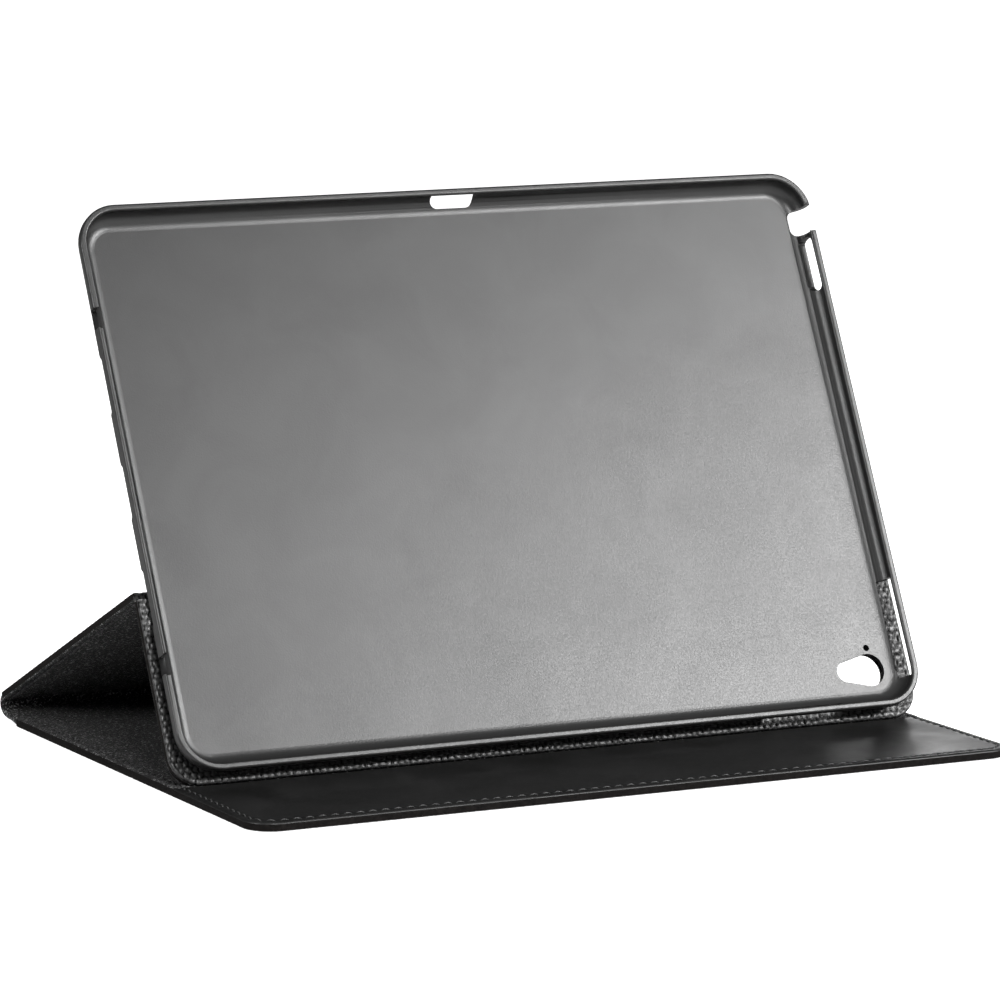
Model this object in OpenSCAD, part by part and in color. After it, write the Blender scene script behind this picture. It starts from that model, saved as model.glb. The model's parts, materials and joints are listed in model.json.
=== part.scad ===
// Folding leather folio case for a tablet, standing open in landscape.
// A hard tray holds the tablet, a split back panel folds into a prop behind it,
// and the front cover lies on the table as the base.

/* [Tablet] */
// Width of the tablet along its long side
tablet_w = 240; // [236:0.5:246]
// Height of the tablet along its short side
tablet_h = 169.5; // [166:0.5:174]
// Thickness of the tablet
tablet_t = 6.1; // [5.8:0.1:6.6]
// Corner radius of the tablet
tablet_r = 11; // [9:0.5:12]

/* [Tray] */
// Thickness of the tray's side walls
wall_t = 1.5; // [1.3:0.1:2]
// Thickness of the tray's floor
floor_t = 1.3; // [1:0.1:1.8]
// How far the rim's lip reaches in over the tablet's edge
lip_reach = 0.5; // [0.3:0.1:0.8]
// Height of the lip, measured down from the rim
lip_h = 0.8; // [0.5:0.1:1.2]
// Radius of the fillet between the inner wall and the floor
inner_fillet = 4.8; // [3:0.2:4.8]
// Radius of the tuck where the outer wall turns into the back
outer_tuck = 6; // [4.6:0.2:6]

/* [Stand] */
// Lean of the tray above the table, in degrees
lean = 63.3; // [60:0.1:68]
// Height of the tray's lower rim edge above the table
foot_height = 8.2; // [8:0.1:9]
// Distance from the cover's front edge back to the tray's lower rim edge
foot_setback = 50.6; // [45:0.2:56]

/* [Leather folio] */
// Width of every leather panel
panel_w = 244.6; // [243.6:0.2:252]
// Height of the glued back panel up to the apex fold
apex_height = 56; // [50:0.5:60]
// Reach of the glued back panel below the tray's rim edge
foot_reach = 2; // [1.5:0.1:4]
// Length of the prop from the apex fold to the upper spine fold
prop_len = 118; // [117.5:0.1:119]
// Width of the spine between its two folds
spine_w = 13; // [12.6:0.1:13.6]
// Length of the cover from the lower spine fold to its front edge
cover_len = 180; // [179:0.2:181.5]
// Depth of the smooth leather band along the cover's front edge
band_depth = 57; // [40:1:60]
// Thickness of the glued back panel
back_t = 2.6; // [2.4:0.1:2.8]
// Thickness of the prop
prop_t = 2.4; // [2.2:0.1:2.4]
// Thickness of the spine
spine_t = 2; // [1.8:0.1:2.2]
// Thickness of the cover
cover_t = 2.8; // [2.6:0.1:3]
// Radius of the panels' free corners
corner_r = 9; // [5:0.5:11]

/* [Seams] */
// Distance from a panel's edge to its row of stitches
seam_inset = 2.6; // [2:0.1:4]
// Width of the sewing thread
thread_w = 0.7; // [0.5:0.1:1]

/* [Hidden] */
$fn = 64;

eps = 0.01;
// how far a cutter runs past the face it cuts
past = 2;

// tray, in its own frame: X across, Y up the tray, Z out of its open front; the rim is at Z 0
tray_w = tablet_w + 2 * wall_t;
tray_h = tablet_h + 2 * wall_t;
tray_r = tablet_r + wall_t;
cavity_z = -(tablet_t + 0.1);
back_z = cavity_z - floor_t;
rim_bar = 1.8;
glue_t = 0.2;

// layers of each panel
skin_t = 0.6;
board_t = 1.2;
board_inset = 4.2;
groove_depth = 0.3;
thread_t = 0.25;
groove_w = thread_w + 0.2;
magnet_d = 8;
magnet_gap = 0.1;

// creases: a rolled fold of leather on each hinge line
apex_r = 1.2;
upper_r = 1.6;
lower_r = 1.4;
panel_end = 1.5;
prop_end = 2.6;
spine_end = 3.2;
cover_end = 2;
foot_gap = 0.25;

// hinge lines in the tray's frame
hinge_z = back_z - glue_t - back_t / 2;

// side view of the stand, as [y, z] measured from the tray's lower rim edge
function tray_point(v, w) = [v * cos(lean) - w * sin(lean), v * sin(lean) + w * cos(lean)];
apex = tray_point(apex_height, hinge_z);
cover_fold = [cover_len - foot_setback, cover_t / 2 - foot_height];
span = norm(cover_fold - apex);
span_angle = atan2(cover_fold[1] - apex[1], cover_fold[0] - apex[0]);
prop_angle = span_angle
    + acos((prop_len * prop_len + span * span - spine_w * spine_w) / (2 * prop_len * span));
prop_fold = apex + prop_len * [cos(prop_angle), sin(prop_angle)];
spine_angle = atan2(cover_fold[1] - prop_fold[1], cover_fold[0] - prop_fold[0]);

// the footprint's middle is the origin, and the table is at Z 0
rear_y = prop_fold[0] + upper_r;
foot_y = foot_setback - (foot_setback + rear_y) / 2;
cover_front = foot_y - foot_setback;

// travel of each fold from the stand to the closed case
apex_travel = lean - prop_angle;
spine_travel = 90 - (spine_angle - prop_angle);
cover_travel = 90 - (-180 - spine_angle);
echo(apex = [foot_y + apex[0], foot_height + apex[1]], travel = apex_travel);
echo(prop_fold = [foot_y + prop_fold[0], foot_height + prop_fold[1]], travel = spine_travel);
echo(cover_fold = [foot_y + cover_fold[0], foot_height + cover_fold[1]], travel = cover_travel);
echo(foot_y = foot_y, prop_angle = prop_angle, spine_angle = spine_angle, ratio = cover_travel / apex_travel);

black = "#1b1b1c";
lining_black = "#151516";
board_grey = "#6d675e";
thread_black = "#2a2a2b";
tray_black = "#2e2f30";
steel = "#9a9ca0";

// ---- frames ----

module in_tray() {
    translate([0, foot_y, foot_height]) rotate([lean, 0, 0]) children();
}

module on_prop() {
    translate([0, foot_y + apex[0], foot_height + apex[1]]) rotate([prop_angle, 0, 0]) children();
}

module on_spine() {
    translate([0, foot_y + prop_fold[0], foot_height + prop_fold[1]])
        rotate([spine_angle, 0, 0]) children();
}

// what rests on the cover is cut level just above it
module above_cover() {
    difference() {
        children();
        translate([-panel_w, cover_front - past, -panel_w])
            cube([2 * panel_w, cover_len, panel_w + cover_t + foot_gap]);
    }
}

// ---- shared shapes ----

// flat outline from y0 to y1, with corner radius r0 at the y0 end and r1 at the y1 end
module outline(w, y0, y1, r0, r1) {
    for (s = [-1, 1]) {
        if (r0 > 0) translate([s * (w / 2 - r0), y0 + r0]) circle(r0);
        if (r1 > 0) translate([s * (w / 2 - r1), y1 - r1]) circle(r1);
    }
    translate([-w / 2, y0 + r0]) square([w, y1 - y0 - r0 - r1]);
    if (r0 > 0) translate([-w / 2 + r0, y0]) square([w - 2 * r0, r0 + eps]);
    if (r1 > 0) translate([-w / 2 + r1, y1 - r1 - eps]) square([w - 2 * r1, r1 + eps]);
}

module plate(w, y0, y1, r0, r1, z0, z1) {
    translate([0, 0, z0]) linear_extrude(z1 - z0) outline(w, y0, y1, r0, r1);
}

// row of thread inside the edges: along both sides, and across the ends that ask for it
module seam(y0, y1, r0, r1, width, across0, across1, z0, z1) {
    half = width / 2;
    a0 = across0 ? seam_inset - half : 0;
    a1 = across1 ? seam_inset - half : 0;
    b0 = across0 ? seam_inset + half : -past;
    b1 = across1 ? seam_inset + half : -past;
    side = seam_inset - half;
    translate([0, 0, z0]) linear_extrude(z1 - z0) difference() {
        outline(panel_w - 2 * side, y0 + a0, y1 - a1, max(r0 - side, 0), max(r1 - side, 0));
        outline(panel_w - 2 * (side + width), y0 + b0, y1 - b1,
            max(r0 - side - width, 0), max(r1 - side - width, 0));
    }
}

// a slot with round ends, from x0 to x1 and y0 to y1
module slot_shape(x0, x1, y0, y1) {
    w = x1 - x0;
    h = y1 - y0;
    r = min(w, h) / 2;
    translate([x0 + r, y0 + r]) circle(r, $fn = 32);
    translate([x1 - r, y1 - r]) circle(r, $fn = 32);
    if (w > h) translate([x0 + r, y0]) square([w - h, h]);
    else translate([x0, y0 + r]) square([w, h - w]);
}

// ---- tray ----

// half section of a dish: reach outward from the corner's axis, with a rounded foot
module dish_section(reach, z0, z1, foot_r) {
    square_z = z0 + foot_r;
    translate([0, square_z]) square([reach, z1 - square_z]);
    translate([0, z0]) square([reach - foot_r, foot_r + eps]);
    translate([reach - foot_r, square_z]) intersection() {
        circle(foot_r);
        translate([0, -foot_r]) square([foot_r, foot_r + eps]);
    }
}

// a rounded dish as wide as the tray: the section runs round the four corners and four sides
module dish(reach, z0, z1, foot_r) {
    x = tray_w / 2 - tray_r;
    y0 = tray_r;
    y1 = tray_h - tray_r;
    for (cx = [-x, x], cy = [y0, y1])
        translate([cx, cy, 0]) rotate_extrude() dish_section(reach, z0, z1, foot_r);
    for (s = [0, 1]) {
        translate([0, (y0 + y1) / 2, 0]) rotate([0, 0, 180 * s])
            translate([x, (y1 - y0) / 2, 0]) rotate([90, 0, 0])
            linear_extrude(y1 - y0) dish_section(reach, z0, z1, foot_r);
        translate([0, (y0 + y1) / 2, 0]) rotate([0, 0, 90 + 180 * s])
            translate([(y1 - y0) / 2, x, 0]) rotate([90, 0, 0])
            linear_extrude(2 * x) dish_section(reach, z0, z1, foot_r);
    }
    translate([-x, y0, z0]) cube([2 * x, y1 - y0, z1 - z0]);
}

// openings in the tray: [low, high] along the side they are in
jack_y = [153.2, 161.6];
jack_x = 115.8;
top_speaker_y = [134.5, 152];
power_y = [9.5, 40.5];
volume_x = [70, 95.5];
connector_x = [-5.6, 9.4];
connector_y = 168.2;
flex_y = [[29.6, 35.4], [135, 140.8]];
port_y = [[44, 62], [77, 94], [109, 127]];
port_z = [-6.2, -3.2];
camera_y = 13.2;
camera_x = [100.3, 108];
camera_r = [3.3, 5.1];
microphone = [108.7, 20.1];
microphone_r = 1;
side_slot_z = [-5.8, -1.8];
side_x = 117;

// tapered camera and flash window: two rounds, and straight sides that cut just inside both
module camera_shape(grow) {
    r = [camera_r[0] + grow, camera_r[1] + grow];
    tilt = asin((r[1] - r[0]) / (camera_x[1] - camera_x[0]));
    bite = 0.03;
    side = [for (i = [0, 1]) (r[i] - bite) * [-sin(tilt), cos(tilt)]];
    for (i = [0, 1]) translate([camera_x[i], camera_y]) circle(r[i]);
    polygon([
        [camera_x[0] + side[0][0], camera_y + side[0][1]],
        [camera_x[1] + side[1][0], camera_y + side[1][1]],
        [camera_x[1] + side[1][0], camera_y - side[1][1]],
        [camera_x[0] + side[0][0], camera_y - side[0][1]]
    ]);
}

// a window through a side wall, drawn as [along the wall, height]
module side_window(x0, x1, y, z) {
    translate([x0, 0, 0]) rotate([90, 0, 90]) linear_extrude(x1 - x0)
        slot_shape(y[0], y[1], z[0], z[1]);
}

module tray_openings() {
    right = tray_w / 2 + past;
    // headphone jack: open through the rim and the tucked edge
    translate([0, 0, back_z - past]) linear_extrude(past - back_z + past) {
        slot_shape(jack_x, jack_x + 5, jack_y[0], jack_y[1]);
        translate([jack_x + 2.5, jack_y[0]]) square([right - jack_x, jack_y[1] - jack_y[0]]);
    }
    // upper speaker
    side_window(side_x - 1, right, top_speaker_y, side_slot_z);
    // power button and second speaker, open through the tucked edge
    translate([side_x, power_y[0], back_z - past])
        cube([right - side_x, power_y[1] - power_y[0], -back_z]);
    // volume buttons in the lower wall
    translate([volume_x[0], -past, back_z - past])
        cube([volume_x[1] - volume_x[0], past + 3.4, -back_z]);
    // accessory connector in the upper wall, notched into the floor
    translate([0, 0, back_z - past]) linear_extrude(past - back_z - 1.2) {
        slot_shape(connector_x[0], connector_x[1], connector_y, connector_y + 6);
        translate([connector_x[0], connector_y + 3])
            square([connector_x[1] - connector_x[0], tray_h]);
    }
    // camera and flash, and the microphone beside them
    translate([0, 0, back_z - past]) linear_extrude(floor_t + 2 * past) camera_shape(0);
    translate([microphone[0], microphone[1], back_z - past])
        cylinder(r = microphone_r, h = floor_t + 2 * past, $fn = 32);
    // two cuts that let the left wall flex while the tablet goes in
    for (y = flex_y)
        translate([-right, y[0], -4.5]) cube([6, y[1] - y[0], 4.5 + past]);
    // the flexing wall is thinner on its outside
    translate([-right, flex_y[0][1] - eps, back_z - past])
        cube([past + 0.6, flex_y[1][0] - flex_y[0][1] + 2 * eps, past - back_z + past]);
    // speakers and charging port
    for (y = port_y) side_window(-right, -side_x, y, port_z);
}

module tray_shell() {
    color(tray_black) in_tray() difference() {
        dish(tray_r, back_z, 0, outer_tuck);
        dish(tray_r - wall_t, cavity_z, -lip_h, inner_fillet);
        dish(tray_r - wall_t - lip_reach, -lip_h - 1, past, 0.2);
        tray_openings();
    }
}

module adhesive_sheet() {
    glue_w = 216;
    color("#c9c3b4") in_tray() difference() {
        plate(glue_w, 9, apex_height - 4, 3, 3, back_z - glue_t, back_z);
        translate([0, 0, back_z - past]) linear_extrude(2 * past) camera_shape(2);
    }
}

// ---- back panel, glued to the tray ----

back_y = [-foot_reach, apex_height - panel_end];
back_front_z = back_z - glue_t;
back_rear_z = back_front_z - back_t;

module camera_cut(grow) {
    translate([0, 0, back_rear_z - past]) linear_extrude(back_t + 2 * past) camera_shape(grow);
}

module back_panel_board() {
    color(board_grey) in_tray() difference() {
        plate(panel_w - 2 * board_inset, board_inset - 2, back_y[1] - 1, 4, 1,
            back_front_z - skin_t - board_t, back_front_z - skin_t);
        camera_cut(2.2);
    }
}

module back_panel_pebbled() {
    color(black) above_cover() in_tray() difference() {
        plate(panel_w, back_y[0], back_y[1], corner_r, 0, back_front_z - skin_t, back_front_z);
        seam(back_seam_y, back_y[1] + past, corner_r - 1, 0, groove_w, true, false,
            back_front_z - groove_depth, back_front_z + past);
        camera_cut(0.7);
    }
}

module back_panel_lining() {
    color(lining_black) above_cover() in_tray() difference() {
        plate(panel_w, back_y[0], back_y[1], corner_r, 0, back_rear_z, back_front_z - skin_t);
        plate(panel_w - 2 * board_inset, board_inset - 2, back_y[1] - 1, 4, 1,
            back_front_z - skin_t - board_t, back_front_z);
        seam(back_seam_y, back_y[1] + past, corner_r - 1, 0, groove_w, true, false,
            back_rear_z - past, back_rear_z + groove_depth);
        camera_cut(0.7);
    }
}

// the lower row of stitches sits just above the edge that rests on the cover
back_seam_y = -seam_inset + 0.8;

module back_panel_stitching() {
    color(thread_black) in_tray() {
        seam(back_seam_y, back_y[1], corner_r - 1, 0, thread_w, true, false,
            back_front_z - groove_depth, back_front_z - groove_depth + thread_t);
        seam(back_seam_y, back_y[1], corner_r - 1, 0, thread_w, true, false,
            back_rear_z + groove_depth - thread_t, back_rear_z + groove_depth);
    }
}

module crease(r) {
    translate([-panel_w / 2, 0, 0]) rotate([0, 90, 0]) cylinder(r = r, h = panel_w);
}

module apex_crease() {
    color(black) in_tray() translate([0, apex_height, hinge_z]) crease(apex_r);
}

// ---- prop ----

prop_y = [panel_end, prop_len - prop_end];

module prop_board() {
    color(board_grey) on_prop() difference() {
        plate(panel_w - 2 * board_inset, prop_y[0] + 1, prop_y[1] - 1, 1, 1,
            prop_t / 2 - skin_t - board_t, prop_t / 2 - skin_t);
        prop_magnet_row(magnet_d / 2 + magnet_gap, prop_t);
    }
}

module prop_pebbled() {
    color(black) on_prop() difference() {
        plate(panel_w, prop_y[0], prop_y[1], 0, 0, prop_t / 2 - skin_t, prop_t / 2);
        seam(prop_y[0], prop_y[1], 0, 0, groove_w, false, false,
            prop_t / 2 - groove_depth, prop_t);
    }
}

module prop_lining() {
    color(lining_black) on_prop() difference() {
        plate(panel_w, prop_y[0], prop_y[1], 0, 0, -prop_t / 2, prop_t / 2 - skin_t);
        plate(panel_w - 2 * board_inset, prop_y[0] + 1, prop_y[1] - 1, 1, 1,
            prop_t / 2 - skin_t - board_t, prop_t);
        seam(prop_y[0], prop_y[1], 0, 0, groove_w, false, false,
            -prop_t, -prop_t / 2 + groove_depth);
    }
}

module prop_stitching() {
    color(thread_black) on_prop() {
        seam(prop_y[0] + 1, prop_y[1] - 1, 0, 0, thread_w, false, false,
            prop_t / 2 - groove_depth, prop_t / 2 - groove_depth + thread_t);
        seam(prop_y[0] + 1, prop_y[1] - 1, 0, 0, thread_w, false, false,
            -prop_t / 2 + groove_depth - thread_t, -prop_t / 2 + groove_depth);
    }
}

// magnets that hold the prop flat against the tray when the case is closed
module prop_magnet_row(r, h) {
    for (x = [-84, -28, 28, 84]) translate([x, prop_len - 14, prop_t / 2 - skin_t - board_t])
        cylinder(r = r, h = h, $fn = 32);
}

module prop_magnets() {
    color(steel) on_prop() prop_magnet_row(magnet_d / 2, board_t);
}

module upper_crease() {
    color(black) on_prop() translate([0, prop_len, 0]) crease(upper_r);
}

// ---- spine ----

spine_y = [spine_end, spine_w - spine_end];
spine_board_t = 0.8;
spine_skin_t = 0.5;

module spine_board() {
    color(board_grey) on_spine()
        plate(panel_w - 2 * board_inset, spine_y[0] + 1, spine_y[1] - 1, 0, 0,
            spine_t / 2 - spine_skin_t - spine_board_t, spine_t / 2 - spine_skin_t);
}

module spine_pebbled() {
    color(black) on_spine() difference() {
        plate(panel_w, spine_y[0], spine_y[1], 0, 0, spine_t / 2 - spine_skin_t, spine_t / 2);
        seam(spine_y[0], spine_y[1], 0, 0, groove_w, false, false,
            spine_t / 2 - groove_depth, spine_t);
    }
}

module spine_lining() {
    color(lining_black) on_spine() difference() {
        plate(panel_w, spine_y[0], spine_y[1], 0, 0, -spine_t / 2, spine_t / 2 - spine_skin_t);
        plate(panel_w - 2 * board_inset, spine_y[0] + 1, spine_y[1] - 1, 0, 0,
            spine_t / 2 - spine_skin_t - spine_board_t, spine_t);
    }
}

module spine_stitching() {
    color(thread_black) on_spine()
        seam(spine_y[0] + 0.5, spine_y[1] - 0.5, 0, 0, thread_w, false, false,
            spine_t / 2 - groove_depth, spine_t / 2 - groove_depth + thread_t);
}

// ---- cover, which is the base of the stand ----

cover_rear = cover_front + cover_len;
cover_y = [cover_front, cover_rear - cover_end];
band_y = cover_front + band_depth;
cover_board_z = 0.7;

module lower_crease() {
    color(black) translate([0, cover_rear, cover_t / 2]) crease(lower_r);
}

// magnets near the front edge hold the cover shut over the tablet
module cover_magnet_row(r, h) {
    for (x = [-100, -72, 72, 100]) translate([x, cover_front + 14, cover_board_z])
        cylinder(r = r, h = h, $fn = 32);
}

module cover_board() {
    color(board_grey) difference() {
        plate(panel_w - 2 * board_inset, cover_y[0] + board_inset, cover_y[1] - 1, 5, 1,
            cover_board_z, cover_board_z + board_t);
        translate([0, 0, -past]) cover_magnet_row(magnet_d / 2 + magnet_gap, 3 * past);
    }
}

module cover_pebbled() {
    color(black) difference() {
        plate(panel_w, cover_y[0], cover_y[1], corner_r, 0, 0, cover_board_z);
        seam(cover_y[0], cover_y[1], corner_r, 0, groove_w, true, false, -past, groove_depth);
    }
}

// upper layer of the cover between two depths, with the pocket that takes the board
module cover_top(y0, y1) {
    difference() {
        intersection() {
            plate(panel_w, cover_y[0], cover_y[1], corner_r, 0, cover_board_z, cover_t);
            translate([-panel_w, y0, 0]) cube([2 * panel_w, y1 - y0, 2 * cover_t]);
        }
        plate(panel_w - 2 * board_inset, cover_y[0] + board_inset, cover_y[1] - 1, 5, 1,
            0, cover_board_z + board_t);
        seam(cover_y[0], cover_y[1], corner_r, 0, groove_w, true, false,
            cover_t - groove_depth, 2 * cover_t);
    }
}

module cover_lining() {
    color(lining_black) cover_top(band_y, cover_y[1]);
}

module cover_band() {
    color(black) cover_top(cover_y[0], band_y);
}

module cover_stitching() {
    color(thread_black) {
        seam(cover_y[0], cover_y[1] - 1, corner_r, 0, thread_w, true, false,
            cover_t - groove_depth, cover_t - groove_depth + thread_t);
        seam(cover_y[0], cover_y[1] - 1, corner_r, 0, thread_w, true, false,
            groove_depth - thread_t, groove_depth);
    }
}

module cover_magnets() {
    color(steel) cover_magnet_row(magnet_d / 2, board_t);
}

tray_shell();
adhesive_sheet();
back_panel_board();
back_panel_pebbled();
back_panel_lining();
back_panel_stitching();
apex_crease();
prop_board();
prop_pebbled();
prop_lining();
prop_stitching();
prop_magnets();
upper_crease();
spine_board();
spine_pebbled();
spine_lining();
spine_stitching();
lower_crease();
cover_board();
cover_pebbled();
cover_lining();
cover_band();
cover_stitching();
cover_magnets();
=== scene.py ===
# Folding leather case for a tablet, standing open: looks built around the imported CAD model.
import json
import math

import bmesh
import bpy
import numpy as np
from mathutils import Euler, Matrix, Vector


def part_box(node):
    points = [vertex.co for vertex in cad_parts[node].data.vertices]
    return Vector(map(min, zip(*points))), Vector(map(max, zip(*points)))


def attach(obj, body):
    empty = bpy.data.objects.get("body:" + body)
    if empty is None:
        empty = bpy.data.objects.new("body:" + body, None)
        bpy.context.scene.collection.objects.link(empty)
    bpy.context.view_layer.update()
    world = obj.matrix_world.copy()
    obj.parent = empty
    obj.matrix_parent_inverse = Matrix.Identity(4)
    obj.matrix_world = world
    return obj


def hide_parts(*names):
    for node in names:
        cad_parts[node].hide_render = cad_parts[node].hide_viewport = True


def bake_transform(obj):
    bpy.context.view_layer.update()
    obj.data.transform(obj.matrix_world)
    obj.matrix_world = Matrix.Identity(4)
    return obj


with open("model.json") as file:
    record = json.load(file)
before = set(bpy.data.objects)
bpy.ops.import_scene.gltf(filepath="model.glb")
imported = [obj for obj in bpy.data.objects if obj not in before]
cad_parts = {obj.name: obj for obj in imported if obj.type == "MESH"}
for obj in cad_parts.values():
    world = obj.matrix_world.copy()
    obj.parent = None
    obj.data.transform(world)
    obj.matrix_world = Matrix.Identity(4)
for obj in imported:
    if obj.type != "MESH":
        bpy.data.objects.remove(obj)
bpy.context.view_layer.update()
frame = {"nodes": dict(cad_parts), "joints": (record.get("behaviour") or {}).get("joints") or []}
mm = 0.001


def deg(a):
    return a * math.pi / 180


foldAxes = {joint["name"]: joint["pos_m"] for joint in frame["joints"]}


# A panel's zero line and turn, seen from the side: it starts on one fold and heads for the next.
def between(start, end):
    _, y0, z0 = foldAxes[start]
    _, y1, z1 = foldAxes[end]
    return y0, z0, math.atan2(z1 - z0, y1 - y0)


# where each panel lies, seen from the side: y and z of its own zero line, and its turn;
# the tray's zero line is the lower front edge of its rim
places = {
    "tray": (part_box("tray_shell")[0][1], 8.2 * mm, deg(63.3)),
    "prop": between("apex_fold", "upper_spine_fold"),
    "spine": between("upper_spine_fold", "lower_spine_fold"),
    "cover": (0.0, 0.0, 0.0),
}
leather = {
    "halfWidth": 122.3 * mm,
    "corner": 9 * mm,
    "grain": 2.05 * mm,       # size of one pebble of the grain
    "relief": 0.42 * mm,      # how high a pebble stands
    "softRelief": 0.2 * mm,   # the same where the leather is pressed flatter
    "fade": 0.9 * mm,         # from the edge to grain of full height
    "seamInset": 2.6 * mm,
    "seamDip": 0.26 * mm,
    "seamWidth": 0.5 * mm,
    "pucker": 0.09 * mm,
    "puckerWidth": 1.3 * mm,
    "pitch": 3.85 * mm,       # from one stitch to the next
    "merge": 0.004 * mm,      # points closer than this become one
}


def makeCamera():
    shot = {
        "place": (-0.73333, -1.47937, 0.31595),
        "tilt": deg(81.5893),    # 90 looks level, less looks down
        "roll": deg(0.1352),
        "turn": deg(-26.4172),
        "lens": 201.987,
    }
    data = bpy.data.cameras.new("camera")
    data.lens = shot["lens"]
    data.sensor_width = 36
    data.clip_start = 0.05
    data.clip_end = 60
    camera = bpy.data.objects.new("camera", data)
    bpy.context.scene.collection.objects.link(camera)
    turned = Euler((shot["tilt"], shot["roll"], shot["turn"])).to_matrix().to_4x4()
    camera.matrix_world = Matrix.Translation(shot["place"]) @ turned
    bpy.context.scene.camera = camera


def makeFloor():
    look = {"half": 14.0, "drop": 0.2 * mm, "color": (0.8, 0.8, 0.8, 1), "roughness": 0.9, "glow": 0.95}
    h = look["half"]
    mesh = bpy.data.meshes.new("floor")
    mesh.from_pydata([(-h, -h, 0), (h, -h, 0), (h, h, 0), (-h, h, 0)], [], [(0, 1, 2, 3)])
    floor = bpy.data.objects.new("floor", mesh)
    floor.location.z = -look["drop"]
    bpy.context.scene.collection.objects.link(floor)
    material = bpy.data.materials.new("paleFloor")
    material.use_nodes = True
    shader = material.node_tree.nodes["Principled BSDF"]
    shader.inputs["Base Color"].default_value = look["color"]
    shader.inputs["Roughness"].default_value = look["roughness"]
    shader.inputs["Specular IOR Level"].default_value = 0.1
    shader.inputs["Emission Color"].default_value = (1, 1, 1, 1)
    path = material.node_tree.nodes.new("ShaderNodeLightPath")
    pick = material.node_tree.nodes.new("ShaderNodeMapRange")
    pick.inputs["To Max"].default_value = look["glow"]
    material.node_tree.links.new(path.outputs["Is Camera Ray"], pick.inputs["Value"])
    material.node_tree.links.new(pick.outputs["Result"], shader.inputs["Emission Strength"])
    mesh.materials.append(material)


def areaLight(name, place, target, size, power):
    data = bpy.data.lights.new(name, "AREA")
    data.shape = "RECTANGLE"
    data.size, data.size_y = size
    data.energy = power
    lamp = bpy.data.objects.new(name, data)
    lamp.location = place
    lamp.rotation_euler = (Vector(target) - Vector(place)).to_track_quat("-Z", "Y").to_euler()
    bpy.context.scene.collection.objects.link(lamp)
    return lamp


def makeLight():
    look = {"sky": 0.09, "seen": 1.0, "sun": 0.3, "sunAngle": 60, "sunTilt": (deg(12), deg(-8), 0)}
    world = bpy.data.worlds.new("studio")
    bpy.context.scene.world = world
    world.use_nodes = True
    nodes, links = world.node_tree.nodes, world.node_tree.links
    background = nodes["Background"]
    background.inputs["Color"].default_value = (1, 1, 1, 1)
    path = nodes.new("ShaderNodeLightPath")
    pick = nodes.new("ShaderNodeMapRange")
    pick.inputs["To Min"].default_value = look["sky"]
    pick.inputs["To Max"].default_value = look["seen"]
    links.new(path.outputs["Is Camera Ray"], pick.inputs["Value"])
    links.new(pick.outputs["Result"], background.inputs["Strength"])
    data = bpy.data.lights.new("overhead", "SUN")
    data.energy = look["sun"]
    data.angle = deg(look["sunAngle"])
    sun = bpy.data.objects.new("overhead", data)
    sun.rotation_euler = look["sunTilt"]
    bpy.context.scene.collection.objects.link(sun)
    areaLight("softbox", (1.07, -1.24, 0.95), (0.02, -0.01, 0.085), (0.8, 0.6), 41)
    areaLight("frontFill", (-0.32, -1.25, 1.02), (-0.05, 0.0, 0.06), (0.5, 0.4), 14)
    areaLight("leftFill", (-1.3, -0.1, 0.55), (-0.1, 0.0, 0.04), (0.35, 0.5), 9)
    card = areaLight("rearCard", (1.0, 1.0, 0.36), (0.12, -0.05, 0.02), (0.5, 0.24), 2.2)
    card.visible_camera = False
    bpy.context.scene.view_settings.view_transform = "Standard"


def newMaterial(name, color, roughness, specular=0.5):
    material = bpy.data.materials.new(name)
    material.use_nodes = True
    shader = material.node_tree.nodes["Principled BSDF"]
    shader.inputs["Base Color"].default_value = (*color, 1)
    shader.inputs["Roughness"].default_value = roughness
    shader.inputs["Specular IOR Level"].default_value = specular
    return material, shader


def addNode(material, kind, **values):
    node = material.node_tree.nodes.new(kind)
    for key, value in values.items():
        if key in node.inputs:
            node.inputs[key].default_value = value
        else:
            setattr(node, key, value)
    return node


def join(material, a, out, b, into):
    material.node_tree.links.new(a.outputs[out], b.inputs[into])


def noise(material, scale, detail=4.0, rough=0.55, distortion=0.0):
    place = addNode(material, "ShaderNodeTexCoord")
    node = addNode(material, "ShaderNodeTexNoise", Scale=scale, Detail=detail, Roughness=rough,
                   Distortion=distortion)
    join(material, place, "Object", node, "Vector")
    return node


# Distance to the nearest of many scattered points, for pores.
def cells(material, scale):
    place = addNode(material, "ShaderNodeTexCoord")
    node = addNode(material, "ShaderNodeTexVoronoi", feature="F1", Scale=scale, Randomness=1.0)
    join(material, place, "Object", node, "Vector")
    return node


def ramp(material, source, out, stops):
    node = material.node_tree.nodes.new("ShaderNodeValToRGB")
    band = node.color_ramp
    while len(band.elements) < len(stops):
        band.elements.new(0.5)
    for element, (at, color) in zip(band.elements, stops):
        element.position = at
        element.color = (*color, 1)
    join(material, source, out, node, "Fac")
    return node


def grey(v):
    return (v, v, v)


# Each layer of relief is a height source, its output, a strength and a depth in metres.
def bump(material, shader, layers):
    last = None
    for source, out, strength, depth in layers:
        node = addNode(material, "ShaderNodeBump", Strength=strength, Distance=depth)
        join(material, source, out, node, "Height")
        if last:
            join(material, last, "Normal", node, "Normal")
        last = node
    join(material, last, "Normal", shader, "Normal")


def spread(material, source, out, shader, socket, low, high, fromMin=0.3, fromMax=0.7):
    node = addNode(material, "ShaderNodeMapRange")
    node.inputs["From Min"].default_value = fromMin
    node.inputs["From Max"].default_value = fromMax
    node.inputs["To Min"].default_value = low
    node.inputs["To Max"].default_value = high
    join(material, source, out, node, "Value")
    join(material, node, "Result", shader, socket)


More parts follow.
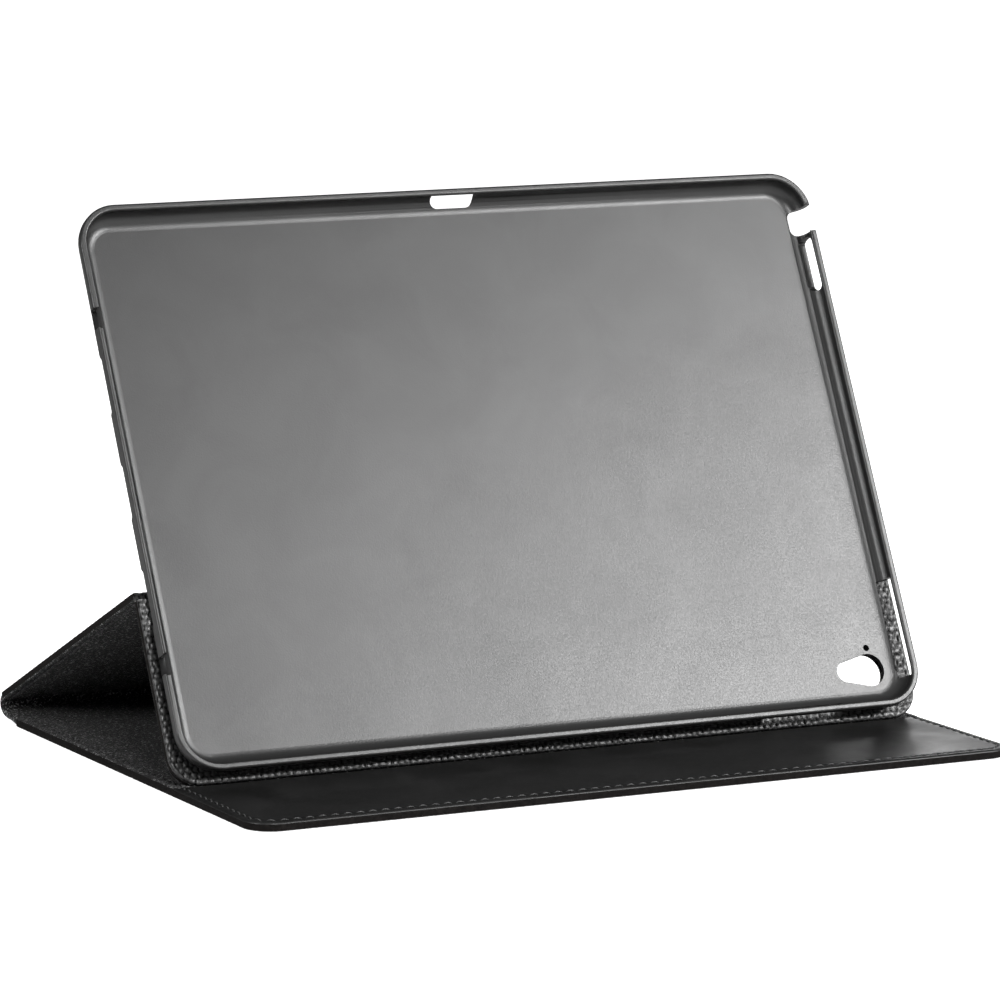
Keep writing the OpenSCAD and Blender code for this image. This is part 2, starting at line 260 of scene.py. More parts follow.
def mouldedPlastic():
    look = {
        "color": 0.012,
        "roughness": (0.3, 0.41),
        "specular": (0.47, 0.53),
        "grainSize": 0.5 * mm,
        "grainDepth": 0.035 * mm,
        "cloudScale": 14,
        "smudgeScale": 38,
    }
    material, shader = newMaterial("mouldedPlastic", grey(look["color"]), 0.35)
    fine = noise(material, 1 / look["grainSize"], 2.0)
    cloud = noise(material, look["cloudScale"], 3.0, 0.5)
    dull = grey(look["color"] * 0.86)
    bright = grey(look["color"] * 1.12)
    tone = ramp(material, cloud, "Fac", [(0.35, dull), (0.65, bright)])
    join(material, tone, "Color", shader, "Base Color")
    smudge = noise(material, look["smudgeScale"], 5.0, 0.62, 0.8)
    spread(material, smudge, "Fac", shader, "Specular IOR Level", *look["specular"], 0.35, 0.65)
    spread(material, fine, "Fac", shader, "Roughness", *look["roughness"])
    bump(material, shader, [(fine, "Fac", 0.6, look["grainDepth"])])
    return material


def pebbledLeather():
    look = {
        # deep, mid and high are painted shade: the colours of a pebble's crease, flank and crown
        "deep": 0.001,
        "mid": 0.01,
        "high": 0.026,
        "specular": (0.05, 0.5),
        "roughness": (0.62, 0.33),
        "poreSize": 0.42 * mm,
        "wrinkleScale": 1400,
    }
    material, shader = newMaterial("pebbledLeather", grey(look["high"]), 0.38, 0.5)
    crown = addNode(material, "ShaderNodeAttribute", attribute_name="crown")
    # painted shade: the base colour darkens from each pebble's crown down into the creases between pebbles
    stops = [(0.3, grey(look["deep"])), (0.75, grey(look["mid"])), (1, grey(look["high"]))]
    tone = ramp(material, crown, "Fac", stops)
    join(material, tone, "Color", shader, "Base Color")
    spread(material, crown, "Fac", shader, "Specular IOR Level", *look["specular"], 0.3, 1)
    pores = cells(material, 1 / look["poreSize"])
    wrinkle = noise(material, look["wrinkleScale"], 5.0, 0.6)
    spread(material, crown, "Fac", shader, "Roughness", *look["roughness"], 0.3, 1)
    bump(material, shader, [(pores, "Distance", 0.4, 0.03 * mm), (wrinkle, "Fac", 0.6, 0.05 * mm)])
    return material


def nappedLeather():
    # high is the colour of painted glints on the raised fibres; deep and mid are the lining's own dark colour
    look = {"deep": 0.002, "mid": 0.007, "high": 0.34, "fibre": 0.72 * mm}
    material, shader = newMaterial("nappedLeather", grey(look["mid"]), 0.85, 0.25)
    fibreGlint = noise(material, 1 / look["fibre"], 3.0, 0.65, 0.6)
    drift = noise(material, 60, 3.0)
    # base colour follows the fibres' bump: bright specks on the raised fibres are painted glints, the rest is
    # the lining's own uneven dark colour
    stops = [(0.48, grey(look["deep"])), (0.56, grey(look["mid"])), (0.66, grey(look["high"]))]
    tone = ramp(material, fibreGlint, "Fac", stops)
    join(material, tone, "Color", shader, "Base Color")
    spread(material, drift, "Fac", shader, "Roughness", 0.7, 0.95)
    shader.inputs["Sheen Weight"].default_value = 0.05
    shader.inputs["Sheen Roughness"].default_value = 0.5
    bump(material, shader, [(fibreGlint, "Fac", 1.0, 0.45 * mm)])
    return material


def smoothLeather():
    look = {"deep": 0.004, "high": 0.008, "roughness": (0.36, 0.5)}
    material, shader = newMaterial("smoothLeather", grey(look["high"]), 0.42, 0.4)
    haze = noise(material, 45, 4.0, 0.6, 0.4)
    tone = ramp(material, haze, "Fac", [(0.35, grey(look["deep"])), (0.7, grey(look["high"]))])
    join(material, tone, "Color", shader, "Base Color")
    spread(material, haze, "Fac", shader, "Roughness", *look["roughness"])
    pores = cells(material, 1500)
    crease = noise(material, 700, 4.0, 0.6)
    bump(material, shader, [(pores, "Distance", 0.3, 0.02 * mm), (crease, "Fac", 0.4, 0.03 * mm)])
    return material


def edgeLeather():
    look = {"deep": (0.0015, 0.0012, 0.0011), "high": (0.009, 0.0075, 0.007)}
    material, shader = newMaterial("edgeLeather", look["high"], 0.7, 0.08)
    fibre = noise(material, 1100, 5.0, 0.65, 0.5)
    tone = ramp(material, fibre, "Fac", [(0.35, look["deep"]), (0.7, look["high"])])
    join(material, tone, "Color", shader, "Base Color")
    bump(material, shader, [(fibre, "Fac", 0.8, 0.15 * mm)])
    return material


def sewingThread():
    material, shader = newMaterial("sewingThread", grey(0.06), 0.45, 0.5)
    twist = noise(material, 2600, 3.0, 0.6)
    tone = ramp(material, twist, "Fac", [(0.35, grey(0.012)), (0.65, grey(0.05))])
    join(material, tone, "Color", shader, "Base Color")
    bump(material, shader, [(twist, "Fac", 0.8, 0.08 * mm)])
    return material


# Plain inner stuff with a little mottling: board, glue film and magnets.
def hiddenMaterial(name, color, roughness, metal=0.0):
    material, shader = newMaterial(name, color, roughness)
    shader.inputs["Metallic"].default_value = metal
    mottle = noise(material, 600, 4.0)
    tone = ramp(material, mottle, "Fac", [(0.3, [c * 0.8 for c in color]), (0.7, list(color))])
    join(material, tone, "Color", shader, "Base Color")
    return material


# Points of a panel turned into the case: across stays x, along and proud turn together about x.
def inPlace(across, along, proud, place):
    y0, z0, turn = places[place]
    c, s = math.cos(turn), math.sin(turn)
    return np.stack([across + 0 * along, y0 + along * c - proud * s, z0 + along * s + proud * c], -1)


# Quads of a grid of rows by cols points; closed joins the last column to the first.
def gridFaces(rows, cols, first=0, closed=False):
    i = np.arange(rows - 1)[:, None]
    j = np.arange(cols if closed else cols - 1)[None, :]
    a = first + i * cols + j
    b = first + i * cols + (j + 1) % cols
    return np.stack([a, b, b + cols, a + cols], -1).reshape(-1, 4)


# A mesh from a block of points, a block of quads and a few wide faces, normals made to point outwards.
# crown, where given, is kept as a point attribute: the height of the grain, from which the pebbled leather
# paints shade into its creases
def makePiece(name, points, quads, caps=(), materials=(), slots=None, merge=0.0, crown=None):
    mesh = bpy.data.meshes.new(name)
    points = np.asarray(points, np.float32).reshape(-1, 3)
    capStarts = np.cumsum([0] + [len(c) for c in caps])[:-1]
    starts = np.concatenate([np.arange(len(quads)) * 4, len(quads) * 4 + capStarts])
    corners = np.concatenate([np.asarray(quads).ravel()] + [np.asarray(c).ravel() for c in caps])
    mesh.vertices.add(len(points))
    mesh.vertices.foreach_set("co", points.ravel())
    mesh.loops.add(len(corners))
    mesh.loops.foreach_set("vertex_index", corners.astype(np.int32))
    mesh.polygons.add(len(starts))
    mesh.polygons.foreach_set("loop_start", starts.astype(np.int32))
    for material in materials:
        mesh.materials.append(material)
    if slots is not None:
        mesh.polygons.foreach_set("material_index", np.asarray(slots, np.int32))
    mesh.update(calc_edges=True)
    mesh.validate()
    if crown is not None:
        height = mesh.attributes.new("crown", "FLOAT", "POINT")
        height.data.foreach_set("value", np.asarray(crown, np.float32).ravel())
    work = bmesh.new()
    work.from_mesh(mesh)
    if merge:
        bmesh.ops.remove_doubles(work, verts=work.verts, dist=merge)
        bmesh.ops.dissolve_degenerate(work, dist=merge, edges=work.edges)
    bmesh.ops.recalc_face_normals(work, faces=work.faces)
    work.to_mesh(mesh)
    work.free()
    mesh.polygons.foreach_set("use_smooth", np.ones(len(mesh.polygons), bool))
    mesh.set_sharp_from_angle(angle=deg(50))
    piece = bpy.data.objects.new(name, mesh)
    bpy.context.scene.collection.objects.link(piece)
    return piece


# A repeatable random number from 0 to 1 for each whole number.
def scatter(index, seed):
    count = 65536
    table = np.random.default_rng(seed).random(count)
    return table[index % count]


# Pillowed grain from 0 in the creases to 1 on a pebble's crown.
# Each point takes the distances to the two nearest seeds of a staggered, shaken lattice;
# their difference is 0 on a crease, and a quarter round of it is the pillow.
def pebbles(across, along, size, seed=3):
    look = {"rowStep": 0.87, "shake": 0.42, "crease": 0.42}
    row = np.floor(along / (size * look["rowStep"]))
    near = np.full(np.shape(across + along), 9.0)
    second = near.copy()
    for dr in (-1, 0, 1):
        r = row + dr
        stagger = 0.5 * (r % 2)
        col = np.floor(across / size - stagger)
        for dc in (-1, 0, 1):
            c = col + dc
            key = (c.astype(np.int64) * 7919 + r.astype(np.int64) * 104729) & 0xFFFFFF
            sx = (c + stagger + 0.5 + look["shake"] * (scatter(key, seed) - 0.5)) * size
            sy = (r + 0.5 + look["shake"] * (scatter(key, seed + 1) - 0.5)) * size * look["rowStep"]
            d = np.hypot(across - sx, along - sy) / size
            second = np.minimum(second, np.maximum(near, d))
            near = np.minimum(near, d)
    edge = np.clip((second - near) / look["crease"], 0, 1)
    return np.sqrt(1 - (1 - edge) ** 2)


# Slow uneven swell of soft leather from -1 to 1: four crossing sine waves of random heading.
def waves(across, along, size, seed):
    rng = np.random.default_rng(seed)
    total = 0 * across + 0 * along
    for _ in range(4):
        a, p, k = rng.random(3)
        a = a * 2 * math.pi
        way = across * math.cos(a) + along * math.sin(a)
        total = total + np.sin(way * 2 * math.pi / (size * (0.6 + k)) + p * 6)
    return total / 4


# Stations from low to high: a few close together on the very edge, fine ones in the edge zone,
# coarse ones between.
def spaced(low, high, edge, fine, coarse):
    lip = np.array([0, 0.06, 0.16, 0.32]) * mm
    steps = max(int(edge / fine), 1)
    zone = np.concatenate([lip, np.linspace(0.5 * mm, edge, steps)])
    middle = np.linspace(low + edge, high - edge, max(int((high - low - 2 * edge) / coarse), 1) + 1)[1:-1]
    return np.concatenate([low + zone, middle, (high - zone)[::-1]])


# Height of the leather beside a row of stitches: a soft dip along the row, puckered once a stitch.
def seamRelief(offset, along):
    dip = -leather["seamDip"] * np.exp(-((offset / leather["seamWidth"]) ** 2))
    beat = np.cos(2 * math.pi * along / leather["pitch"])
    pucker = leather["pucker"] * beat * np.exp(-((offset / leather["puckerWidth"]) ** 2))
    return dip - pucker


# One layer of leather on a panel. Its face is a grid of stations across and along; near the corners at y0
# each row is narrowed to the rounded outline. Height is the layer's face, less a quarter round at the edge,
# plus grain, plus slow swell, less the dip along the seams. Its hidden side is one flat face at z0.
def skin(name, place, y0, y1, corner, z0, z1, body, material, edgeMaterial, replaced, seed,
         pitch=(0.5, 0.5), zone=6.0, roll=0.5, relief=0.0, swell=0.0, seam="sides"):
    look = {"swellSize": 45 * mm, "swellFade": 6 * mm, "lip": 0.08 * mm}
    half = leather["halfWidth"]
    fine, coarse = pitch[0] * mm, pitch[1] * mm
    xs = spaced(-half, half, zone * mm, fine, coarse)
    ys = spaced(y0, y1, min(zone * mm, (y1 - y0) / 2 - mm), fine, coarse)
    if corner:
        turn = np.linspace(0, math.pi / 2, int(corner / fine * 1.3) + 2)
        arc = y0 + corner * (1 - np.cos(turn))
        lip = y0 + np.array([0.05, 0.15]) * mm
        ys = np.unique(np.concatenate([arc, ys[ys > y0 + corner + fine / 3], lip]))
    xs = np.concatenate([[xs[0]], xs, [xs[-1]]])
    ys = np.concatenate([[ys[0]], ys, [ys[-1]]])
    dy = (ys - y0)[:, None] + 0 * xs[None, :]
    inCorner = np.clip(corner - dy, 0, None)
    width = half - corner + np.sqrt(np.clip(corner**2 - inCorner**2, 0, None))
    x = xs[None, :] / half * width
    y = ys[:, None] + 0 * x
    side = half - np.abs(x)
    rounded = corner - np.hypot(np.clip(corner - side, 0, None), inCorner)
    inset = np.where((side < corner) & (dy < corner), rounded, np.minimum(side, dy))
    d = np.clip(np.minimum(inset, y1 - y), 0, None)
    out = 1 if z1 > z0 else -1
    lift = roll * mm - np.sqrt(np.clip((roll * mm) ** 2 - np.clip(roll * mm - d, 0, None) ** 2, 0, None))
    fade = np.clip(d / leather["fade"], 0, 1)
    height = abs(z1 - z0) - lift
    grain = pebbles(x, y, leather["grain"], seed) if relief else np.ones(x.shape)
    height = height + relief * (grain - 0.75) * (0.25 + 0.75 * fade)
    if swell:
        height = height + swell * waves(x, y, look["swellSize"], seed) * np.clip(d / look["swellFade"], 0, 1)
    gap = inset if seam == "round" else side
    run = np.where(side < dy, y, x) if seam == "round" else y
    height = height + seamRelief(gap - leather["seamInset"], run)
    height[0, :] = height[-1, :] = 0
    height[:, 0] = height[:, -1] = 0
    points = inPlace(x, y, z0 + out * height, place)
    rows, cols = x.shape
    quads = gridFaces(rows, cols)
    rim = np.concatenate([np.arange(cols), np.arange(1, rows) * cols + cols - 1,
                          (rows - 1) * cols + np.arange(cols - 2, -1, -1), np.arange(rows - 2, 0, -1) * cols])
    onEdge = (d < look["lip"]).reshape(-1)
    slots = np.concatenate([onEdge[quads].all(1).astype(int), [0]])
    piece = makePiece(name, points, quads, [rim[::-1]], [material, edgeMaterial], slots,
                      merge=leather["merge"], crown=grain)
    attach(piece, body)
    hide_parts(*replaced)


# Leather that runs along a curve seen from the side, the full width of the case. The curve carries a
# thickness on its outer and inner side; both shrink by a quarter round at the two ends of the width.
def strip(name, line, outward, inward, bodies, blendAt, materials, seed, replaced):
    half = leather["halfWidth"]
    xs = spaced(-half, half, 6 * mm, 0.5 * mm, 0.5 * mm)
    line = np.asarray(line)
    along = np.concatenate([[0], np.cumsum(np.hypot(*np.diff(line, axis=0).T))])
    tangent = np.gradient(line, along, axis=0)
    tangent /= np.linalg.norm(tangent, axis=1)[:, None]
    normal = np.stack([-tangent[:, 1], tangent[:, 0]], -1)
    x = xs[None, :] + 0 * along[:, None]
    s = along[:, None] + 0 * x
    d = half - np.abs(x)
    r = 1.0 * mm
    rounding = np.sqrt(np.clip(r**2 - np.clip(r - d, 0, None) ** 2, 0, None)) / r
    grain = pebbles(x, s + seed * 0.013, leather["grain"], seed)
    top = outward[:, None] * rounding + leather["softRelief"] * (grain - 0.75) * np.clip(d / mm, 0, 1)
    low = -inward[:, None] * rounding + 0 * x
    rows, cols = x.shape
    layers = []
    for height in (top, low):
        y = line[:, :1] + normal[:, :1] * height
        z = line[:, 1:] + normal[:, 1:] * height
        layers.append(np.stack([x, y, z], -1))
    count = rows * cols
    face = gridFaces(rows, cols)
    first, last = np.arange(cols), (rows - 1) * cols + np.arange(cols)
    ends = [np.stack([e[:-1], e[1:], e[1:] + count, e[:-1] + count], -1) for e in (first, last)]
    quads = np.concatenate([face, face + count] + ends)
    slots = np.concatenate([np.zeros(len(face)), np.ones(len(face)), np.zeros(2 * (cols - 1))])
    piece = makePiece(name, np.concatenate(layers), quads, (), materials, slots,
                      merge=leather["merge"], crown=np.concatenate([grain, grain]))
    if blendAt:
        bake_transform(piece)
    else:
        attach(piece, bodies[0])
    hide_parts(*replaced)


# Smooth curve from point a heading ta to point b heading tb: a cubic with handles of the given reach.
def bezier(a, ta, b, tb, reach, count):
    a, ta, b, tb = (np.asarray(v, float) for v in (a, ta, b, tb))
    t = np.linspace(0, 1, count)[:, None]
    near = (1 - t) ** 3 * a + 3 * (1 - t) ** 2 * t * (a + ta * reach)
    return near + 3 * (1 - t) * t**2 * (b - tb * reach) + t**3 * b


def onPlace(place, along, proud=0.0):
    return inPlace(np.zeros(1), np.array([along]), np.array([proud]), place)[0][1:]


def heading(place, slope=0.0):
    turn = places[place][2] + math.atan(slope)
    return np.array([math.cos(turn), math.sin(turn)])


# Stations along a row of stitches at an inset from the outline, round the near corners or up the two
# sides only. Returns place across and along, the outward direction, and the run so far, at equal steps.
def seamPath(y0, y1, corner, ends, inset, step):
    half = leather["halfWidth"]
    a, b = half - inset, y0 + inset
    r = max(corner - inset, 0.01 * mm)
    turn = np.linspace(0, math.pi / 2, 40)
    parts = []
    if ends == "round":
        left = np.stack([-(a - r) - r * np.cos(turn), b + r - r * np.sin(turn)], -1)
        outLeft = np.stack([-np.cos(turn), -np.sin(turn)], -1)
        right = np.stack([a - r + r * np.sin(turn), b + r - r * np.cos(turn)], -1)
        outRight = np.stack([np.sin(turn), -np.cos(turn)], -1)
        points = np.concatenate([[[-a, y1]], left, right, [[a, y1]]])
        out = np.concatenate([[[-1, 0]], outLeft, outRight, [[1, 0]]])
        parts.append((points, out))
    else:
        for s in (-1, 1):
            parts.append((np.array([[s * a, y0], [s * a, y1]]), np.array([[s, 0.0], [s, 0.0]])))
    result = []
    for points, out in parts:
        run = np.concatenate([[0], np.cumsum(np.hypot(*np.diff(points, axis=0).T))])
        keep = np.concatenate([[True], np.diff(run) > 1e-9])
        stations = np.arange(step / 2, run[-1], step)
        xy = np.stack([np.interp(stations, run[keep], points[keep, k]) for k in (0, 1)], -1)
        n = np.stack([np.interp(stations, run[keep], out[keep, k]) for k in (0, 1)], -1)
        result.append((xy, n / np.linalg.norm(n, axis=1)[:, None], stations))
    return result


# Rows of separate stitches. Each is a short thread: rings of six points round an arched line whose two ends
# dive into the leather. rows gives place, outline, height and side for each row.
def stitches(name, rows, body, material, replaced):
    look = {"length": 2.5 * mm, "thread": 0.3 * mm, "arch": 0.16 * mm, "sink": 0.2 * mm, "slant": deg(9)}
    rings, around = 7, 6
    t = np.linspace(0, 1, rings)
    ring = np.arange(around) / around * 2 * math.pi
    girth = look["thread"] * (0.45 + 0.55 * np.sin(math.pi * t) ** 0.5)
    lift = look["arch"] * np.sin(math.pi * t) - look["sink"] * (1 - np.sin(math.pi * t)) ** 2
    template = np.stack([
        (t - 0.5)[:, None] * look["length"] + 0 * ring,
        girth[:, None] * np.cos(ring),
        lift[:, None] + girth[:, None] * 0.8 * np.sin(ring),
    ], -1).reshape(-1, 3)
    blocks, count = [], 0
    for place, y0, y1, corner, ends, z, side in rows:
        for xy, out, _ in seamPath(y0, y1, corner, ends, leather["seamInset"], leather["pitch"]):
            tilt = look["slant"] * side
            tx = np.stack([-out[:, 1], out[:, 0]], -1)
            threadWay = tx * math.cos(tilt) + out * math.sin(tilt)
            threadSide = out * math.cos(tilt) - tx * math.sin(tilt)
            flat = (xy[:, None, :] + threadWay[:, None, :] * template[None, :, :1]
                    + threadSide[:, None, :] * template[None, :, 1:2])
            high = z + side * (template[None, :, 2] + 0 * flat[:, :, 0])
            blocks.append(inPlace(flat[:, :, 0], flat[:, :, 1], high, place).reshape(-1, 3))
            count += len(xy)
    points = np.concatenate(blocks)
    firsts = np.arange(count)[:, None] * rings * around
    quads = (gridFaces(rings, around, closed=True)[None] + firsts[..., None]).reshape(-1, 4)
    firstRing = np.arange(around)[::-1] + firsts
    lastRing = (rings - 1) * around + np.arange(around) + firsts
    piece = makePiece(name, points, quads, list(firstRing) + list(lastRing), [material])
    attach(piece, body)
    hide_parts(*replaced)


# A merged copy of the moulded tray, its flat faces joined and its sharp edges eased for the light to catch.
def makeTray(material):
    look = {
        "rim": 0.62 * mm,       # rounding of the rim's edges
        "cutEnd": 0.6 * mm,     # rounding of the edges that stand across the wall
        "ease": 0.28 * mm,      # rounding of every other edge
        "steps": 4,
        "over": deg(34),
        "wide": 0.002,          # square metres; larger faces stay flat
        "weight": 80,
        "merge": 0.002 * mm,
        "level": deg(0.8),      # faces that differ less are joined
    }
    mesh = frame["nodes"]["tray_shell"].data.copy()
    mesh.name = "trayShell"
    mesh.materials.clear()
    mesh.materials.append(material)
    work = bmesh.new()
    work.from_mesh(mesh)
    bmesh.ops.remove_doubles(work, verts=work.verts, dist=look["merge"])
    bmesh.ops.dissolve_limit(work, angle_limit=look["level"], verts=work.verts, edges=work.edges)
    rimY, rimZ, turn = places["tray"]
    outOfTray = Vector((0, -math.sin(turn), math.cos(turn)))
    onRimPlane = Vector((0, rimY, rimZ))

    def upright(e):
        return abs((e.verts[1].co - e.verts[0].co).normalized() @ outOfTray) > 0.99

    def onRim(e):
        return all(abs((v.co - onRimPlane) @ outOfTray) < 0.05 * mm for v in e.verts)

    for ease, wanted in ((look["rim"], onRim), (look["cutEnd"], upright), (look["ease"], lambda e: True)):
        work.normal_update()
        sharp = [e for e in work.edges if e.is_manifold and e.calc_face_angle(0) > look["over"] and wanted(e)]
        bmesh.ops.bevel(work, geom=sharp, offset=ease, offset_type="OFFSET", segments=look["steps"],
                        profile=0.5, affect="EDGES", clamp_overlap=True, miter_outer="ARC")
    bmesh.ops.recalc_face_normals(work, faces=work.faces)
    work.to_mesh(mesh)
    work.free()
    area = np.empty(len(mesh.polygons), np.float32)
    mesh.polygons.foreach_get("area", area)
    mesh.polygons.foreach_set("use_smooth", np.ones(len(mesh.polygons), bool))
    mesh.set_sharp_from_angle(angle=deg(28))
    mesh.polygons.foreach_set("use_smooth", area < look["wide"])
    tray = bpy.data.objects.new("trayShell", mesh)
    bpy.context.scene.collection.objects.link(tray)
    even = tray.modifiers.new("evenShading", "WEIGHTED_NORMAL")
    even.keep_sharp = True
    even.weight = look["weight"]
    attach(tray, "tray")
    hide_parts("tray_shell")


# the glued back panel's lower edges at its front and rear, and its top, up the tray
backPanel = {"foot": -1.95 * mm, "rearFoot": -1.1 * mm, "top": 54 * mm}


# Pebbled leather that wraps the rim of the glued back panel: a profile carried round the panel's three
# free sides. From the inside outwards it runs flat with grain, dips at the seam, rolls over the edge and
# comes back below.
def makeFlange(material, edgeMaterial):
    look = {
        "y0": backPanel["foot"],
        "y1": 54.4 * mm,
        "face": -7.7 * mm,
        "band": 7.9 * mm,
        "roll": 0.4 * mm,
        "relief": 0.52 * mm,
        "step": 0.42 * mm,
    }
    inset = leather["seamInset"]
    (xy, out, run), = seamPath(look["y0"], look["y1"], leather["corner"], "round", inset, look["step"])
    lip = np.array([0.42, 0.26, 0.14, 0.05, 0.0]) * mm
    d = np.concatenate([np.linspace(look["band"], 0.6 * mm, 19), lip])
    at = xy[:, None, :] + out[:, None, :] * (inset - d)[None, :, None]
    fade = np.clip(d / leather["fade"], 0, 1) * np.clip((look["band"] - d) / mm, 0, 1)
    grain = pebbles(at[..., 0], at[..., 1], leather["grain"], 5)
    roll = look["roll"]
    lift = roll - np.sqrt(np.clip(roll**2 - np.clip(roll - d, 0, None) ** 2, 0, None))
    top = (0.42 * mm + look["relief"] * (grain - 0.7) * fade[None] - lift[None]
           + 0.4 * seamRelief((d - inset)[None] + 0 * grain, run[:, None] + 0 * grain))
    top = np.maximum(top, 0.02 * mm - lift[None])
    top[:, 0] = -0.1 * mm
    under = np.array([[0.02, -0.6], [0.16, -0.72], [0.03, -0.86], [0.0, -1.6], [0.0, -2.35], [0.2, -2.64],
                      [1.1, -2.66], [1.4, -2.4], [look["band"] / mm, -0.3]]) * mm
    low = xy[:, None, :] + out[:, None, :] * (inset - under[:, 0] + 0.06 * mm)[None, :, None]
    push = 0.07 * mm * (grain[:, -1:] - 0.5)
    at[:, -4:] += out[:, None, :] * (0.05 * mm + push[..., None])
    across = np.concatenate([at[..., 0], low[..., 0]], 1)
    along = np.concatenate([at[..., 1], low[..., 1]], 1)
    proud = look["face"] + np.concatenate([top, under[:, 1][None] + 0 * low[..., 0]], 1)
    points = inPlace(across, along, proud, "tray")
    rows, cols = across.shape
    quads = gridFaces(rows, cols, closed=True)
    lower = (np.arange(cols) >= len(d)) & (np.arange(cols) < cols - 1)
    slots = np.concatenate([np.tile(lower, rows - 1), [0, 0]])
    caps = [np.arange(cols)[::-1], (rows - 1) * cols + np.arange(cols)]
    # pebble height for the pebbled leather's painted crease shade; the rolled-under side takes a middle value
    crown = np.concatenate([grain, 0.6 + 0 * low[..., 0]], 1)
    piece = makePiece("flangeLeather", points, quads, caps, [material, edgeMaterial], slots, crown=crown)
    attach(piece, "tray")


def makeFolio(look):
    prop = {"low": 1.5 * mm, "high": 115.4 * mm, "board": 0.6 * mm, "face": 1.2 * mm}
    cover = {
        "front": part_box("cover_pebbled")[0][1],
        "rear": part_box("cover_pebbled")[1][1],
        "bandRear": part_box("cover_band")[1][1],
        "board": 0.7 * mm,
        "under": 0.04 * mm,
        "face": 2.75 * mm,
    }
    pebbled, napped, edge, thread = (look[k] for k in ("pebbled", "napped", "edge", "thread"))
    corner = leather["corner"]
    makeFlange(pebbled, edge)
    stitches("backPanelStitches",
             [("tray", backPanel["foot"], backPanel["top"], corner, "round", -7.62 * mm, 1),
              ("tray", backPanel["rearFoot"], backPanel["top"], corner, "round", -10.28 * mm, -1)],
             "tray", thread, ["back_panel_stitching"])
    print("prop")
    skin("propPebbled", "prop", prop["low"], prop["high"], 0, prop["board"], prop["face"], "prop",
         pebbled, edge, ["prop_pebbled"], 11, pitch=(0.55, 0.62), relief=leather["relief"], swell=0.12 * mm)
    skin("propLining", "prop", prop["low"], prop["high"], 0, prop["board"], -prop["face"], "prop",
         napped, edge, ["prop_lining"], 12, pitch=(0.6, 1.8), swell=0.1 * mm, roll=0.7)
    stitches("propStitches",
             [("prop", 2 * mm, 115 * mm, 0, "sides", 1.18 * mm, 1),
              ("prop", 2 * mm, 115 * mm, 0, "sides", -1.16 * mm, -1)],
             "prop", thread, ["prop_stitching"])
    print("folds and spine")
    makeFolds(pebbled, napped)
    print("cover")
    skin("coverPebbled", "cover", cover["front"], cover["rear"], corner, cover["board"], cover["under"],
         "cover", pebbled, edge, ["cover_pebbled"], 21, pitch=(0.6, 0.8), relief=leather["softRelief"],
         seam="round", roll=0.45)
    skin("coverBand", "cover", cover["front"], cover["bandRear"], corner, cover["board"], cover["face"],
         "cover", look["smooth"], edge, ["cover_band"], 22, pitch=(0.5, 0.62), zone=7, swell=0.1 * mm,
         seam="round", roll=0.95)
    skin("coverLining", "cover", cover["bandRear"], cover["rear"], 0, cover["board"], cover["face"],
         "cover", napped, edge, ["cover_lining"], 23, pitch=(0.6, 1.8), swell=0.1 * mm, roll=0.6)
    seamEnd = cover["rear"] - mm
    stitches("coverStitches",
             [("cover", cover["front"], seamEnd, corner, "round", 2.7 * mm, 1),
              ("cover", cover["front"], seamEnd, corner, "round", 0.3 * mm, -1)],
             "cover", thread, ["cover_stitching"])


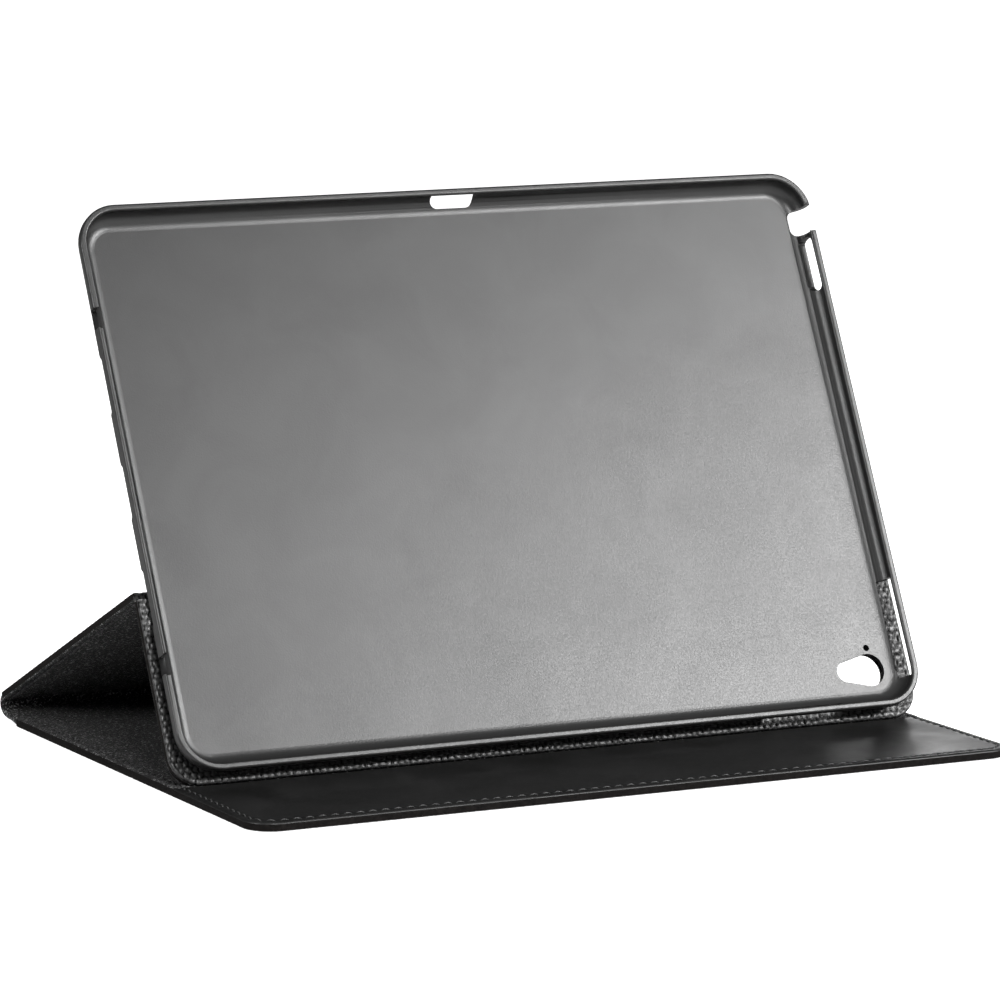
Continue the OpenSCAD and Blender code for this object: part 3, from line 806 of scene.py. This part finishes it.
# The spine bows towards its pebbled side: its height is a cubic of the way across, steepest at the prop
# and level at the cover. Each fold is a smooth curve from one panel's edge to the next.
def makeFolds(pebbled, napped):
    bow = 2.4 * mm
    wide = 13 * mm

    def bowed(v):
        u = v / wide
        return bow * 6.75 * u * (1 - u) ** 2

    def bowedSlope(v):
        u = v / wide
        return bow * 6.75 * ((1 - u) ** 2 - 2 * u * (1 - u)) / wide

    def onSpine(v):
        return onPlace("spine", v, bowed(v)), heading("spine", bowedSlope(v))

    spineLine = np.array([onSpine(v)[0] for v in np.linspace(3.0, 10.4, 16) * mm])
    thick = 1.0 * mm * np.ones(16)
    strip("spineLeather", spineLine, thick, thick, ["spine"], None, [pebbled, napped], 31,
          ["spine_pebbled", "spine_lining", "spine_stitching", "spine_board"])
    back = -9.0 * mm
    folds = [
        {"name": "apexFold", "bodies": ("tray", "prop"), "crease": "apex_crease", "seed": 43,
         "start": (onPlace("tray", 52.6 * mm, back), heading("tray")),
         "end": (onPlace("prop", 3.4 * mm), heading("prop")),
         "reach": 2.2 * mm, "thick": (1.22 * mm, 1.16 * mm),
         "blend": (onPlace("tray", 54.5 * mm, back), onPlace("prop", 1.5 * mm))},
        {"name": "upperFold", "bodies": ("prop", "spine"), "crease": "upper_crease", "seed": 44,
         "start": (onPlace("prop", 114.0 * mm), heading("prop")),
         "end": onSpine(3.6 * mm),
         "reach": 3.0 * mm, "thick": (1.14 * mm, 0.98 * mm),
         "blend": (onPlace("prop", 115.5 * mm), onPlace("spine", 3.1 * mm))},
        {"name": "lowerFold", "bodies": ("spine", "cover"), "crease": "lower_crease", "seed": 44,
         "start": onSpine(9.6 * mm),
         "end": (np.array([80.2, 1.42]) * mm, np.array([-1.0, 0.0])),
         "reach": 1.6 * mm, "thick": (0.98 * mm, 1.3 * mm),
         "blend": (onPlace("spine", 9.9 * mm), np.array([81.3, 1.4]) * mm)},
    ]
    for fold in folds:
        line = bezier(*fold["start"], *fold["end"], fold["reach"], 15)
        thick = np.linspace(*fold["thick"], 15)
        strip(fold["name"], line, thick, thick, fold["bodies"], fold["blend"], [pebbled, napped],
              fold["seed"], [fold["crease"]])


makeCamera()
makeFloor()
makeLight()
print("camera, floor and light")
looks = {
    "plastic": mouldedPlastic(),
    "pebbled": pebbledLeather(),
    "napped": nappedLeather(),
    "smooth": smoothLeather(),
    "edge": edgeLeather(),
    "thread": sewingThread(),
    "board": hiddenMaterial("pressedBoard", (0.3, 0.27, 0.23), 0.85),
    "glue": hiddenMaterial("glueFilm", (0.6, 0.57, 0.5), 0.5),
    "steel": hiddenMaterial("platedSteel", (0.6, 0.61, 0.63), 0.3, 1.0),
}
print("tray")
makeTray(looks["plastic"])
print("leather")
makeFolio(looks)
carried = {"back_panel_pebbled": "pebbled", "back_panel_lining": "napped", "adhesive_sheet": "glue"}
endings = {"board": "board", "magnets": "steel"}
for name, node in frame["nodes"].items():
    kind = carried.get(name) or endings.get(name.split("_")[-1])
    if kind:
        node.data.materials.clear()
        node.data.materials.append(looks[kind])
print("finished")
